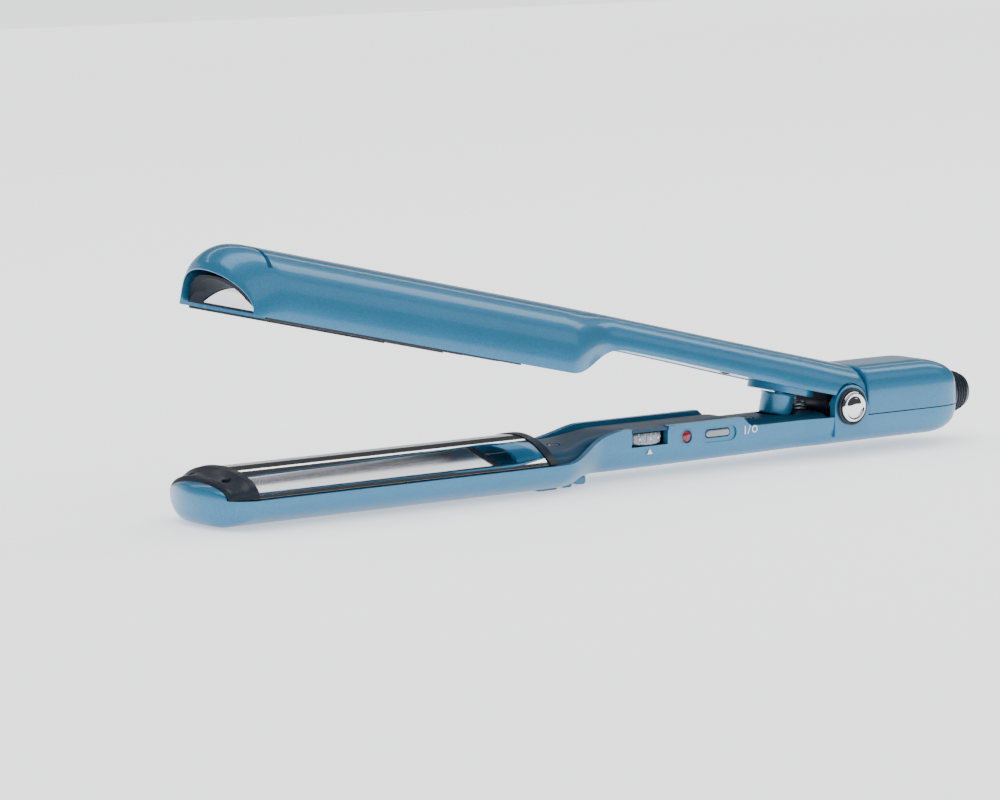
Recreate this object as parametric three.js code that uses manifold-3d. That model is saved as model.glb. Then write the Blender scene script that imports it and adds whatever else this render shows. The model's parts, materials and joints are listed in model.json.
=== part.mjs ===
// A hair styling iron with two hinged jaws: a convex metal barrel plate on the lower jaw
// and a matching concave plate under the domed shell of the upper jaw.
// Millimetres, +Z up. The jaws point to -X, the cord leaves at +X, the controls face -Y.
// Everything is drawn round the hinge axis with the jaws closed, the upper arm is then
// opened about that axis, and the whole is moved so that the origin is under its middle.
import * as THREE from "three";
import { mergeVertices } from "three/addons/utils/BufferGeometryUtils.js";
import Module from "manifold-3d";

const wasm = await Module();
wasm.setup();

// ---- driving dimensions -------------------------------------------------------------
const OPEN_ANGLE = THREE.MathUtils.degToRad(12.5); // from parallel jaws to the open stop
const WALL = 2; // housing wall
const FIT = 0.3; // gap between neighbouring parts

const JAW_HALF = 19; // half width of both jaws
const NOSE_X = -237.5; // front of the lower jaw
const NOSE_BULGE = 5.5; // how far the nose stands forward of its corners
const VISOR_X = -239.6; // front of the upper jaw
const VISOR_BULGE = 8;
const WAIST_START = -117; // where the jaws narrow to the grips
const WAIST_END = -95;

const TRAY_RIM = -6.9;
const TRAY_BOTTOM = -15.3;
const REST_Z = -15.6; // underside of the rest rib
const GRIP_TOP = 0;
const GRIP_BOTTOM = -12.6;
const GRIP_HALF = 11.4;
const HINGE_HALF = 13.4; // half width at the hinge and behind it
const SPLIT_Z = -3.3; // seam between the lower shell and the rear cover
const REAR_FACE = 7.2; // front of the rear cover
const REAR_END = 47;
const REAR_CREST = 11.3;

const JAW_BASE = -5.4; // lower edge of the upper shell
const JAW_CREST = 13.7;
const MOUTH_CREST = 5; // top of the open arch at the front
const ROLL_LENGTH = 12; // the shell rolls down to the arch over this length

const PLATE_FRONT = -226;
const PLATE_REAR = -122.5;
const BARREL_HALF = 18;
const BARREL_CREST = 0.6;
const BARREL_RISE = 7.5; // crest above the plate's lower edges
const BARREL_RADIUS = (BARREL_HALF ** 2 + BARREL_RISE ** 2) / (2 * BARREL_RISE);
const BARREL_CENTRE = BARREL_CREST - BARREL_RADIUS;
const PLATE_THICK = 1.5;
const PLATE_GAP = 0.6; // between the two plates when closed
const UPPER_PLATE_HALF = 15.4;
const UPPER_PLATE_RADIUS = BARREL_RADIUS + PLATE_GAP;

const SWIVEL_Z = -1;
const SWIVEL_NECK = 5.8;
const CORD_BORE = 3.7;
const SWIVEL_END = 58;

const CONTROL_Z = -3.9; // height of the dial, lamp and button
const CONTROL_FACE = -GRIP_HALF;
const DIAL_X = -79;
const DIAL_RADIUS = 8;
const DIAL_Y = -3.8;
const DIAL_BASE = -5.1; // underside of the dial, which is 3.6 thick
const LAMP_X = -64.5;
const BUTTON_X = -52;

const POST_X = -18.7; // hollow column that carries the leads between the arms
const SPRING_X = -10.4;
const LID_SCREWS = [-110, -34]; // along the lower grip's lid
const UPPER_LID_SCREWS = [-98, -45];
const LID_SCREW_Y = -4;
const REAR_SCREW_X = 30;
const REAR_SCREW_Y = 6.5;
const EAR_RADIUS = 6.6; // of the shell round the hinge pin
const LEDGE_FRONT = -42.5; // the grip steps down behind here
const LEDGE_Z = -2.9;
const SWIVEL_START = 40.3; // inner face of the cord gland
const WINDOW_HALF = 7; // half length of the dial's window
const PIN_RADIUS = 2;

// ---- colours ------------------------------------------------------------------------
const material = (color, roughness, metalness) =>
  new THREE.MeshStandardMaterial({ color, roughness, metalness });
const BLUE = material(0x2f7fae, 0.3, 0.35);
const CHROME = material(0xd8d9dc, 0.08, 1);
const BLACK = material(0x24272d, 0.45, 0);
const STEEL = material(0xa9adb2, 0.3, 1);
const ALUMINIUM = material(0xb9bcc0, 0.4, 1);
const CERAMIC = material(0xe7e3da, 0.6, 0);
const BOARD = material(0x1f5a37, 0.5, 0);
const SILVER = material(0xb8bcc2, 0.3, 0.8);
const RED = material(0xa0182a, 0.2, 0);
const LEAD = material(0xd9d2c4, 0.6, 0);

// ---- solids -------------------------------------------------------------------------
const { lerp, smoothstep } = THREE.MathUtils;

function solid(geometry) {
  const bare = geometry.clone();
  for (const name of Object.keys(bare.attributes)) {
    if (name !== "position") bare.deleteAttribute(name);
  }
  const merged = mergeVertices(bare, 1e-4);
  return new wasm.Manifold(
    new wasm.Mesh({
      numProp: 3,
      vertProperties: new Float32Array(merged.attributes.position.array),
      triVerts: new Uint32Array(merged.index.array),
    }),
  );
}

function geometryOf(manifold) {
  const mesh = manifold.getMesh();
  const points = new Float32Array(mesh.numVert * 3);
  for (let i = 0; i < mesh.numVert; i++) {
    points.set(mesh.vertProperties.subarray(i * mesh.numProp, i * mesh.numProp + 3), i * 3);
  }
  const geometry = new THREE.BufferGeometry();
  geometry.setAttribute("position", new THREE.BufferAttribute(points, 3));
  geometry.setIndex(new THREE.BufferAttribute(mesh.triVerts, 1));
  return geometry;
}

const combine = (how) => (first, ...rest) =>
  geometryOf(rest.reduce((sum, next) => sum[how](solid(next)), solid(first)));
const join = combine("add");
const cut = combine("subtract");

function signedVolume(points, faces) {
  const [a, b, c] = [new THREE.Vector3(), new THREE.Vector3(), new THREE.Vector3()];
  let volume = 0;
  for (let i = 0; i < faces.length; i += 3) {
    a.fromArray(points[faces[i]]);
    b.fromArray(points[faces[i + 1]]);
    c.fromArray(points[faces[i + 2]]);
    volume += a.dot(b.cross(c)) / 6;
  }
  return volume;
}

// A closed body through a row of rings. Each ring is a loop of [x, y, z] round its middle.
function skin(rings) {
  const count = rings[0].length;
  const middle = (ring) => [0, 1, 2].map((k) => ring.reduce((sum, p) => sum + p[k], 0) / count);
  const last = rings.length - 1;
  const points = [...rings.flat(), middle(rings[0]), middle(rings[last])];
  const [startTip, endTip] = [rings.length * count, rings.length * count + 1];
  const faces = [];
  for (let i = 0; i < count; i++) {
    const j = (i + 1) % count;
    for (let r = 0; r < last; r++) {
      const [a, b] = [r * count, (r + 1) * count];
      faces.push(a + i, b + i, a + j, a + j, b + i, b + j);
    }
    faces.push(startTip, i, j, endTip, last * count + j, last * count + i);
  }
  if (signedVolume(points, faces) < 0) faces.reverse();
  const geometry = new THREE.BufferGeometry();
  geometry.setAttribute("position", new THREE.Float32BufferAttribute(points.flat(), 3));
  geometry.setIndex(faces);
  return geometry;
}

// Extrusions of a flat shape: its own x and y become the two named axes.
function extrudeX(shape, x0, x1, options = {}) {
  const geometry = new THREE.ExtrudeGeometry(shape, {
    depth: x1 - x0, bevelEnabled: false, curveSegments: 24, ...options,
  });
  geometry.applyMatrix4(new THREE.Matrix4().set(0, 0, 1, x0, 1, 0, 0, 0, 0, 1, 0, 0, 0, 0, 0, 1));
  return geometry;
}

function extrudeY(shape, y0, y1, options = {}) {
  const geometry = new THREE.ExtrudeGeometry(shape, {
    depth: y1 - y0, bevelEnabled: false, curveSegments: 24, ...options,
  });
  geometry.applyMatrix4(new THREE.Matrix4().set(1, 0, 0, 0, 0, 0, -1, y1, 0, 1, 0, 0, 0, 0, 0, 1));
  return geometry;
}

function extrudeZ(shape, z0, z1, options = {}) {
  return new THREE.ExtrudeGeometry(shape, {
    depth: z1 - z0, bevelEnabled: false, curveSegments: 24, ...options,
  }).translate(0, 0, z0);
}

function box(x0, x1, y0, y1, z0, z1) {
  return new THREE.BoxGeometry(x1 - x0, y1 - y0, z1 - z0)
    .translate((x0 + x1) / 2, (y0 + y1) / 2, (z0 + z1) / 2);
}

const cylinderX = (r, x0, x1, y, z, sides = 24) =>
  new THREE.CylinderGeometry(r, r, x1 - x0, sides).rotateZ(-Math.PI / 2)
    .translate((x0 + x1) / 2, y, z);
const cylinderY = (r, y0, y1, x, z, sides = 24) =>
  new THREE.CylinderGeometry(r, r, y1 - y0, sides).translate(x, (y0 + y1) / 2, z);
const cylinderZ = (r, z0, z1, x, y, sides = 24) =>
  new THREE.CylinderGeometry(r, r, z1 - z0, sides).rotateX(Math.PI / 2)
    .translate(x, y, (z0 + z1) / 2);

// A solid of revolution: profile points are [radius, height], and it stands along +Z.
const turned = (profile, sides = 24) =>
  new THREE.LatheGeometry(profile.map(([r, h]) => new THREE.Vector2(r, h)), sides)
    .rotateX(Math.PI / 2);

function rectangle(u0, u1, v0, v1) {
  return new THREE.Shape([[u0, v0], [u1, v0], [u1, v1], [u0, v1]]
    .map(([u, v]) => new THREE.Vector2(u, v)));
}

// A round-ended slot centred on (u, v).
function slotShape(u, v, halfLength, halfHeight) {
  const shape = new THREE.Shape();
  const straight = halfLength - halfHeight;
  shape.absarc(u + straight, v, halfHeight, -Math.PI / 2, Math.PI / 2, false);
  shape.absarc(u - straight, v, halfHeight, Math.PI / 2, (3 * Math.PI) / 2, false);
  return shape;
}

// ---- sections of the arms -----------------------------------------------------------
const SECTION_STEPS = 16;

// Half an oval from (-half, open) round to (half, open). The far side lies at `closed`,
// `power` 2 is an ellipse and more is squarer, and `flat` above 1 gives it a level strip.
function bowl(half, open, closed, power = 2.5, flat = 1) {
  return Array.from({ length: SECTION_STEPS + 1 }, (_, i) => {
    const turn = (Math.PI * i) / SECTION_STEPS;
    const side = -Math.sign(Math.cos(turn)) * Math.abs(Math.cos(turn)) ** (2 / power);
    const depth = Math.min(1, flat * Math.abs(Math.sin(turn)) ** (2 / power));
    return [side * half, open + (closed - open) * depth];
  });
}

// The same bowl with upright sides that carry on to the height `brim`.
const well = (half, open, closed, power, brim) =>
  [[-half, brim], ...bowl(half, open, closed, power, 1.04), [half, brim]];

// Stations of a nose: distances behind its front, closer together where it is round.
const ROUNDING = [0, 0.25, 0.9, 2, 3.4, 5];
const inset = (u, radius) => (u >= radius ? 0 : radius - Math.sqrt(radius ** 2 - (radius - u) ** 2));

// Bends a ring so that its middle stands forward: full at the front, gone `fade` behind it.
const bulged = (section, x, front, bulge, fade = 40) => {
  const share = 1 - smoothstep(x, front, front + fade);
  return section.map(([y, z]) => [x + bulge * share * (y / JAW_HALF) ** 2, y, z]);
};

const steps = (from, to, count) =>
  Array.from({ length: count + 1 }, (_, i) => lerp(from, to, i / count));

// ---- lower arm housing --------------------------------------------------------------
const lowerHalf = (x) => {
  const waist = lerp(JAW_HALF, GRIP_HALF, smoothstep(x, WAIST_START, WAIST_END));
  const hinge = lerp(waist, HINGE_HALF, smoothstep(x, -20, -4));
  return hinge - inset(REAR_END - x, 12) * 0.3;
};
const lowerRim = (x) => lerp(TRAY_RIM, GRIP_TOP, smoothstep(x, WAIST_START, -88));
const lowerBottom = (x) =>
  lerp(TRAY_BOTTOM, GRIP_BOTTOM, smoothstep(x, -112, -97)) +
  0.8 * smoothstep(x, -97, 20) + inset(REAR_END - x, 10) * 0.35;
const LOWER_STATIONS = [
  -229, -215, -170, -125, ...steps(WAIST_START, -88, 10), -70, -45, -20, -14, -9, -4, 5, 20,
  35, 39, 42, 44, 45.5, 46.5, REAR_END,
];

function lowerOuter() {
  const front = [0.35, 0.7].map((scale) => {
    const section = bowl(JAW_HALF - 5, TRAY_RIM, TRAY_BOTTOM + 4, 2.6, 1.04);
    const middle = (TRAY_RIM + TRAY_BOTTOM) / 2;
    const small = section.map(([y, z]) => [y * scale, middle + (z - middle) * scale]);
    return bulged(small, NOSE_X, NOSE_X, NOSE_BULGE);
  });
  const nose = ROUNDING.map((u) => {
    const sunk = inset(u, 5);
    const section = bowl(JAW_HALF - sunk, TRAY_RIM, TRAY_BOTTOM + sunk * 0.8, 2.6, 1.04);
    return bulged(section, NOSE_X + u, NOSE_X, NOSE_BULGE);
  });
  const body = LOWER_STATIONS.map((x) =>
    bulged(bowl(lowerHalf(x), lowerRim(x), lowerBottom(x), 2.6 + smoothstep(x, -110, -90), 1.04),
      x, NOSE_X, NOSE_BULGE));
  return skin([...front, ...nose, ...body]);
}

function lowerCavity() {
  const stations = [-229, ...LOWER_STATIONS.filter((x) => x > -229 && x < 43), 43.5];
  return skin(stations.map((x) =>
    well(lowerHalf(x) - WALL, lowerRim(x), lowerBottom(x) + WALL, 3.4, lowerRim(x) + 9)
      .map(([y, z]) => [x, y, z])));
}

// The arched top of the blue nose, in front of the barrel's end cap.
function noseCrown() {
  const crest = TRAY_RIM + 3.9;
  const rings = [...ROUNDING, 8].map((u) => {
    const sunk = inset(u, 5);
    const section = bowl(JAW_HALF - 0.4 - sunk, TRAY_RIM - 1, crest - sunk * 0.25, 2);
    return bulged(section, NOSE_X + u, NOSE_X, NOSE_BULGE);
  });
  const front = [0.35, 0.7].map((scale) => {
    const section = bowl(JAW_HALF - 5.4, TRAY_RIM - 1, crest - 1.25, 2);
    const small = section.map(([y, z]) => [y * scale, TRAY_RIM + (z - TRAY_RIM) * scale]);
    return bulged(small, NOSE_X, NOSE_X, NOSE_BULGE);
  });
  return cut(skin([...front, ...rings]), box(CAP_FRONT - FIT, -220, -20, 20, -10, 0));
}

// Three low steps under the waist that lift the hot tray off the table.
function restRibs() {
  const ribs = [[-121, -112.4, REST_Z], [-111.2, -107, REST_Z + 0.2], [-106.2, -101.8, REST_Z + 0.7]];
  return ribs.map(([x0, x1, low]) => {
    const shape = new THREE.Shape();
    shape.moveTo(x0, TRAY_BOTTOM + 1.6);
    shape.lineTo(x0 + 0.5, low + 0.5);
    shape.lineTo(x0 + 1.1, low);
    shape.lineTo(x1 - 0.6, low);
    shape.lineTo(x1, low + 0.5);
    shape.lineTo(x1, TRAY_BOTTOM + 2.6);
    return extrudeY(shape, -9, 9);
  });
}

// Upright ears round the hinge pin, standing on the side walls.
function hingeEar(side) {
  const shape = new THREE.Shape();
  shape.moveTo(-EAR_RADIUS, -9);
  shape.lineTo(REAR_FACE - FIT, -9);
  shape.lineTo(REAR_FACE - FIT, 0);
  shape.absarc(0, 0, EAR_RADIUS, 0.3, Math.PI, false);
  const [a, b] = side < 0 ? [-HINGE_HALF, -HINGE_HALF + 2.4] : [HINGE_HALF - 2.4, HINGE_HALF];
  return extrudeY(shape, a, b);
}

function lowerShell() {
  const shell = cut(lowerOuter(), lowerCavity());
  const behindSeam = box(REAR_FACE - 0.01, REAR_END + 5, -20, 20, SPLIT_Z, 20);
  // the side walls step down beside the post, with a sloping front end
  const ledge = new THREE.Shape();
  ledge.moveTo(LEDGE_FRONT, 3);
  ledge.lineTo(LEDGE_FRONT, GRIP_TOP + 0.1);
  ledge.lineTo(LEDGE_FRONT + 3.5, LEDGE_Z);
  ledge.lineTo(-EAR_RADIUS, LEDGE_Z);
  ledge.lineTo(-EAR_RADIUS, 3);
  const dialNotch = box(DIAL_X - WINDOW_HALF, DIAL_X + WINDOW_HALF, -15, -5,
    DIAL_BASE - 0.4, 5);
  const lampHole = cylinderY(2.1, -15, -5, LAMP_X, CONTROL_Z);
  const buttonHole = extrudeY(slotShape(BUTTON_X, CONTROL_Z, 5, 1.35), -15, -5);
  const swivelHole = cylinderX(SWIVEL_NECK + FIT, 40, 52, 0, SWIVEL_Z);
  const pinHoles = cylinderY(PIN_RADIUS + 0.1, -20, 20, 0, 0, 20);
  const screwHoles = [-1, 1].map((side) => join(
    cylinderZ(2.2, -16, -10.4, REAR_SCREW_X, side * REAR_SCREW_Y, 14),
    cylinderZ(1.3, -11, -8, REAR_SCREW_X, side * REAR_SCREW_Y, 14)));
  return cut(
    join(cut(shell, behindSeam, extrudeY(ledge, -20, 20)), noseCrown(), ...restRibs(),
      hingeEar(-1), hingeEar(1)),
    dialNotch, lampHole, buttonHole, swivelHole, pinHoles, ...screwHoles,
  );
}

// Lid of the lower grip. It ramps up from the barrel and dips beside the post.
const lidCrest = (x) =>
  lerp(-3, GRIP_TOP - 0.6, smoothstep(x, -110, -86)) - 0.9 * smoothstep(x, -43, -39);

function lowerInnerCover() {
  const edge = (x) => lowerRim(x) - 0.8 - 1.3 * smoothstep(x, -43, -39);
  const half = (x) => lowerHalf(x) - WALL - 2 * FIT;
  const stations = [-118.7, ...steps(-116, -88, 9), -70, -43, -41, -39, -20, -7.6];
  const plate = skin(stations.map((x) =>
    bowl(half(x), edge(x) - 2, lidCrest(x), 3).map(([y, z]) => [x, y, z])));
  const hollow = skin([-130, ...stations.slice(1, -1), -4].map((x) =>
    bowl(half(x) - 1.6, edge(x) - 8, lidCrest(x) - 1.8, 3).map(([y, z]) => [x, y, z])));
  // a lip bridges the dial's notch in the shell wall
  const lip = box(DIAL_X - WINDOW_HALF + FIT, DIAL_X + WINDOW_HALF - FIT, CONTROL_FACE + 0.1,
    -5.5, -1.2, -0.3);
  const dialGap = cylinderZ(DIAL_RADIUS + 0.7, -9, -1.2, DIAL_X, DIAL_Y, 40);
  const lampGap = cylinderY(2.6, -15, -3.5, LAMP_X, CONTROL_Z);
  const buttonGap = extrudeY(slotShape(BUTTON_X, CONTROL_Z, 6, 2), -15, -4);
  const postWell = cylinderZ(6.2, -12, 6, POST_X - 0.5, 0, 32);
  const springCup = cylinderZ(4.1, -5, -1.4, SPRING_X, 0, 24);
  const springSeat = cylinderZ(3.3, -3.4, 6, SPRING_X, 0, 24);
  const screws = LID_SCREWS.map((x) =>
    join(cylinderZ(2.1, lidCrest(x) - 1.4, 6, x, LID_SCREW_Y, 16),
      cylinderZ(1.2, -12, 4, x, LID_SCREW_Y, 12)));
  return cut(join(cut(plate, hollow), lip, springCup), dialGap, lampGap, buttonGap, postWell,
    springSeat, ...screws);
}

// ---- rear housing -------------------------------------------------------------------
const rearCrest = (x) => REAR_CREST - inset(REAR_END - x, 14) * 0.4;

function rearCover() {
  const stations = [REAR_FACE, 8.2, 20, 33, 36, 39, 42, 44, 45.5, 46.5, REAR_END];
  const ringsOf = (shrink, open) => (x) => {
    const lead = inset(x - REAR_FACE, 1) * 0.8;
    const half = lowerHalf(x) - lead - shrink;
    return bowl(half, open, rearCrest(x) - lead - shrink, 4.5).map(([y, z]) => [x, y, z]);
  };
  const outer = skin(stations.map(ringsOf(0, SPLIT_Z + 0.3)));
  const inner = skin([REAR_FACE + WALL, 20, 33, 36, 39, 42, 43.5].map(ringsOf(WALL, SPLIT_Z - 3)));
  return cut(outer, inner, cylinderX(SWIVEL_NECK + FIT, 40, 52, 0, SWIVEL_Z));
}

// The cord leaves through this turning gland: flange inside, neck in the wall, nose outside.
function cordSwivel() {
  const [bore, neck, length] = [CORD_BORE, SWIVEL_NECK, SWIVEL_END - SWIVEL_START];
  const profile = [
    [bore, 0], [8, 0], [8, 2.6], [neck, 2.6], [neck, 7.4], [7.6, 7.4], [7.9, 8.6],
    [7.4, 11.5], [6.3, 15.2], [5.6, 17.2], [5.2, length], [bore, length],
    [bore, 0],
  ];
  return turned(profile, 24).rotateY(Math.PI / 2).translate(SWIVEL_START, 0, SWIVEL_Z);
}

const swivelClip = () =>
  cut(cylinderX(8.8, 38.4, 40, 0, SWIVEL_Z, 28), cylinderX(4.4, 38, 41, 0, SWIVEL_Z, 20),
    box(38, 41, -3, 3, -12, SWIVEL_Z));

// ---- barrel -------------------------------------------------------------------------
// An arched strip of the given radii, as wide as 2 * half, across the jaw.
function archedStrip(radius, thick, half, x0, x1) {
  const outer = Math.asin(half / radius);
  const innerAngle = Math.asin(half / (radius - thick));
  const shape = new THREE.Shape();
  shape.absarc(0, BARREL_CENTRE, radius, Math.PI / 2 - outer, Math.PI / 2 + outer, false);
  shape.absarc(0, BARREL_CENTRE, radius - thick, Math.PI / 2 + innerAngle,
    Math.PI / 2 - innerAngle, true);
  return extrudeX(shape, x0, x1, { curveSegments: 28 });
}

// A solid under an arch of that radius down to the level `floor`.
function archedBlock(radius, floor, half, x0, x1) {
  const angle = Math.asin(half / radius);
  const shape = new THREE.Shape();
  shape.absarc(0, BARREL_CENTRE, radius, Math.PI / 2 - angle, Math.PI / 2 + angle, false);
  shape.lineTo(-half, floor);
  shape.lineTo(half, floor);
  return extrudeX(shape, x0, x1, { curveSegments: 24 });
}

const barrelPlate = () => cut(
  archedStrip(BARREL_RADIUS, PLATE_THICK, BARREL_HALF, PLATE_FRONT, PLATE_REAR),
  box(PLATE_FRONT - 1, PLATE_REAR + 1, -20, 20, -12, TRAY_RIM + FIT));

const INNER_RADIUS = BARREL_RADIUS - PLATE_THICK - FIT;
const HEATER = { x0: -212, x1: -138, half: 6, z0: -5.4, z1: -3 };
const lowerSpreader = () => cut(
  archedBlock(INNER_RADIUS, -6.2, 13, PLATE_FRONT + 4, PLATE_REAR - 4),
  box(HEATER.x0 - FIT, HEATER.x1 + FIT, -HEATER.half - FIT, HEATER.half + FIT, -7, HEATER.z1 + FIT));
const lowerHeater = () =>
  box(HEATER.x0, HEATER.x1, -HEATER.half, HEATER.half, HEATER.z0, HEATER.z1);

// Heat-proof cradle that holds the barrel in the tray.
function lowerCarrier() {
  const [x0, x1] = [PLATE_FRONT + 0.5, PLATE_REAR - 0.5];
  const floor = box(x0, x1, -14.6, 14.6, -8.8, -6.9);
  const legs = [-205, -174, -143].map((x) => box(x - 3, x + 3, -9, 9, -12.9, -8.7));
  return join(floor, ...legs);
}

// End cap in front of the barrel: a rim against the plate, a valley, and a rounded lip.
const CAP_FRONT = NOSE_X + 3.2;
const CAP_PROFILE = [
  // [x, half width, crest]: front lip, valley, rim
  [CAP_FRONT, 14.2, -3.2], [-234, 14.6, -2.2], [-233.2, 15.4, -1.6], [-232, 16.2, -1.5],
  [-230, 17.2, -1.1], [-228.8, 17.8, -0.2], [-228.1, 18, 0.5], [PLATE_FRONT - FIT, 18, 0.8],
];
function barrelFrontCap() {
  const pockets = [-1, 1].map((side) =>
    box(-232.4, -229.8, side * 8.4 - 2.2, side * 8.4 + 2.2, -4.4, 3));
  const body = skin(CAP_PROFILE.map(([x, half, crest]) =>
    bowl(half, TRAY_RIM + FIT, crest, 2.05).map(([y, z]) => [x, y, z])));
  return cut(body, ...pockets);
}

function barrelRearCollar() {
  const ring = archedBlock(BARREL_RADIUS + 0.3, TRAY_RIM + FIT, BARREL_HALF, PLATE_REAR + FIT,
    -119.2);
  return cut(ring, box(-125, -115, -6, 6, -8, -4.2));
}

// ---- upper arm housing --------------------------------------------------------------
const upperHalf = (x) => {
  const waist = lerp(JAW_HALF, GRIP_HALF, smoothstep(x, WAIST_START, WAIST_END));
  return lerp(waist, HINGE_HALF - 0.3, smoothstep(x, -30, -6));
};
const upperBase = (x) =>
  lerp(JAW_BASE, 4, smoothstep(x, WAIST_START, -92)) - 1.5 * smoothstep(x, -92, -10);
const upperCrest = (x) => JAW_CREST - 1.1 * smoothstep(x, -120, 5);
const rollCrest = (x) => {
  const u = Math.min(1, (x - VISOR_X) / ROLL_LENGTH);
  return lerp(MOUTH_CREST, JAW_CREST, Math.sqrt(Math.max(0, 1 - (1 - u) ** 2)));
};
const UPPER_STATIONS = [
  ...[0, 0.3, 1.1, 2.6, 4.8, 7.6, ROLL_LENGTH].map((u) => VISOR_X + u), -222, -205, -165, -125,
  ...steps(WAIST_START, -90, 10), -70, -40, -25, -12, -3,
];
const crestAt = (x) => Math.min(rollCrest(x), upperCrest(x));
const archPower = (x) => 2 + 0.35 * smoothstep(x, VISOR_X, VISOR_X + ROLL_LENGTH);

function upperOuter() {
  return skin([...UPPER_STATIONS, 9].map((x) => {
    const half = upperHalf(x) - 0.25 * inset(x - VISOR_X, 4);
    const section = bowl(half, upperBase(x), crestAt(x), archPower(x));
    return bulged(section, x, VISOR_X, VISOR_BULGE);
  }));
}

// The hollow under the upper shell, open at the mouth and below.
function upperCavity() {
  const inner = [...UPPER_STATIONS.filter((x) => x > VISOR_X), 4.6];
  const lead = well(JAW_HALF - WALL, JAW_BASE, MOUTH_CREST - 1.2, 2, JAW_BASE - 9);
  const mouth = [-14, 0.1].map((u) => lead.map(([y, z]) =>
    [VISOR_X + u + VISOR_BULGE * (y / JAW_HALF) ** 2, y, z]));
  const rest = inner.map((x) => bulged(
    well(upperHalf(x) - WALL, upperBase(x), Math.max(MOUTH_CREST - 1.2, crestAt(x) - WALL),
      archPower(x), upperBase(x) - 9), x, VISOR_X, VISOR_BULGE));
  return skin([...mouth, ...rest]);
}

// Everything behind a plane that is upright when the arm is open.
const behindArm = (x) =>
  box(0, 40, -30, 30, -40, 40).translate(x, 0, 0).rotateY(-OPEN_ANGLE);

function upperShell() {
  const vent = box(-227.2, -226.1, -14, 14, 7, 20);
  const earRoom = [-1, 1].map((side) => {
    const [a, b] = side < 0 ? [-30, -10] : [10, 30];
    return cylinderY(7.2, a, b, 0, 0, 40);
  });
  const below = box(-7, 20, -30, 30, -20, 1.2);
  return cut(upperOuter(), upperCavity(), behindArm(REAR_FACE - 0.6), vent, ...earRoom, below);
}

const upperLidBase = (x) => Math.max(upperBase(x) + 0.2, lidCrest(x) + 1.2);

// Lid under the upper grip, with a raised pad round the post and the spring.
function upperInnerCover() {
  const half = (x) => upperHalf(x) - WALL - 2 * FIT - 0.2;
  const stations = [-113.5, ...steps(-111, -90, 6), -60, -34, -12];
  const body = skin(stations.map((x) => [
    [x, -half(x), upperLidBase(x) + 1.8], [x, -half(x), upperLidBase(x)],
    [x, half(x), upperLidBase(x)], [x, half(x), upperLidBase(x) + 1.8],
  ]));
  const pad = extrudeZ(slotShape(-18, 0, 11, 8.2), 0.6, 3.6);
  const screws = UPPER_LID_SCREWS.map((x) => join(
    cylinderZ(2.1, -2, upperLidBase(x) + 1, x, LID_SCREW_Y, 14),
    cylinderZ(1.2, 0, 8, x, LID_SCREW_Y, 14)));
  return cut(join(body, pad), cylinderZ(3.6, -2, 8, POST_X, 0, 20),
    cylinderZ(1.4, -2, 3, SPRING_X, 0, 12), ...screws);
}

// Hollow column from the upper lid into the well of the lower grip.
const wirePost = () => turned([
  [2.4, -6.4], [4.4, -6.4], [5, -5.8], [5, 0.3], [2.4, 0.3], [2.4, -6.4],
], 28).translate(POST_X, 0, 0);

function upperCarrier() {
  // black liner between the shell and the concave plate, with a funnel at the mouth
  const stations = [-236.4, -235.2, -233, -229, PLATE_FRONT - 1, -200, -160, -125, -119.5];
  const outer = skin(stations.map((x) => bulged(
    bowl(upperHalf(x) - WALL - FIT, JAW_BASE - 0.4, Math.max(3.6, crestAt(x) - 8.2), 2.2),
    x, VISOR_X, VISOR_BULGE)));
  const plateRoom = archedBlock(UPPER_PLATE_RADIUS + PLATE_THICK + FIT, -12,
    UPPER_PLATE_HALF + FIT, PLATE_FRONT - FIT, PLATE_REAR + FIT);
  const channel = archedBlock(BARREL_RADIUS + 0.9, -12, BARREL_HALF - 0.1, -246, -115);
  const funnel = skin([-246, -236.6, -232, PLATE_FRONT - FIT].map((x) => {
    const open = 1 - smoothstep(x, -236.6, PLATE_FRONT);
    return bulged(bowl(UPPER_PLATE_HALF + 0.9 * open, -12, 1.2 + 1.7 * open, 2.2),
      x, VISOR_X, VISOR_BULGE);
  }));
  const spreaderRoom = box(-222.5, -126, -12.6, 12.6, -2, 12);
  return cut(outer, plateRoom, channel, funnel, spreaderRoom);
}

const upperPlate = () =>
  archedStrip(UPPER_PLATE_RADIUS + PLATE_THICK, PLATE_THICK, UPPER_PLATE_HALF, PLATE_FRONT,
    PLATE_REAR);

function upperSpreader() {
  const shape = new THREE.Shape();
  const radius = UPPER_PLATE_RADIUS + PLATE_THICK + FIT;
  const angle = Math.asin(12 / radius);
  shape.absarc(0, BARREL_CENTRE, radius, Math.PI / 2 + angle, Math.PI / 2 - angle, true);
  shape.lineTo(12, 4.6);
  shape.lineTo(-12, 4.6);
  return cut(extrudeX(shape, -221, -127.5), box(HEATER.x0 - FIT, HEATER.x1 + FIT,
    -HEATER.half - FIT, HEATER.half + FIT, 3.7, 6));
}
const upperHeater = () => box(HEATER.x0, HEATER.x1, -HEATER.half, HEATER.half, 4, 6.4);

// ---- hinge --------------------------------------------------------------------------
const hingePin = () => cylinderY(PIN_RADIUS, -13.2, 13.2, 0, 0, 24);

// Domed cap with a ring round its face.
const hingeCap = (side) => turned([
  [0, 0], [4.75, 0], [4.75, 0.9], [4.35, 1.5], [3.7, 1.6], [3.5, 1.2], [3.2, 1.2],
  [2.2, 1.65], [0, 1.85],
], 28).rotateX((side * -Math.PI) / 2).translate(0, side * (HINGE_HALF + 0.35), 0);

const hingeWasher = (side) => cut(
  cylinderY(5.7, side < 0 ? -HINGE_HALF - 1.0 : HINGE_HALF + 0.02,
    side < 0 ? -HINGE_HALF - 0.02 : HINGE_HALF + 1.0, 0, 0, 28),
  cylinderY(4.95, -20, 20, 0, 0, 28));

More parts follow.
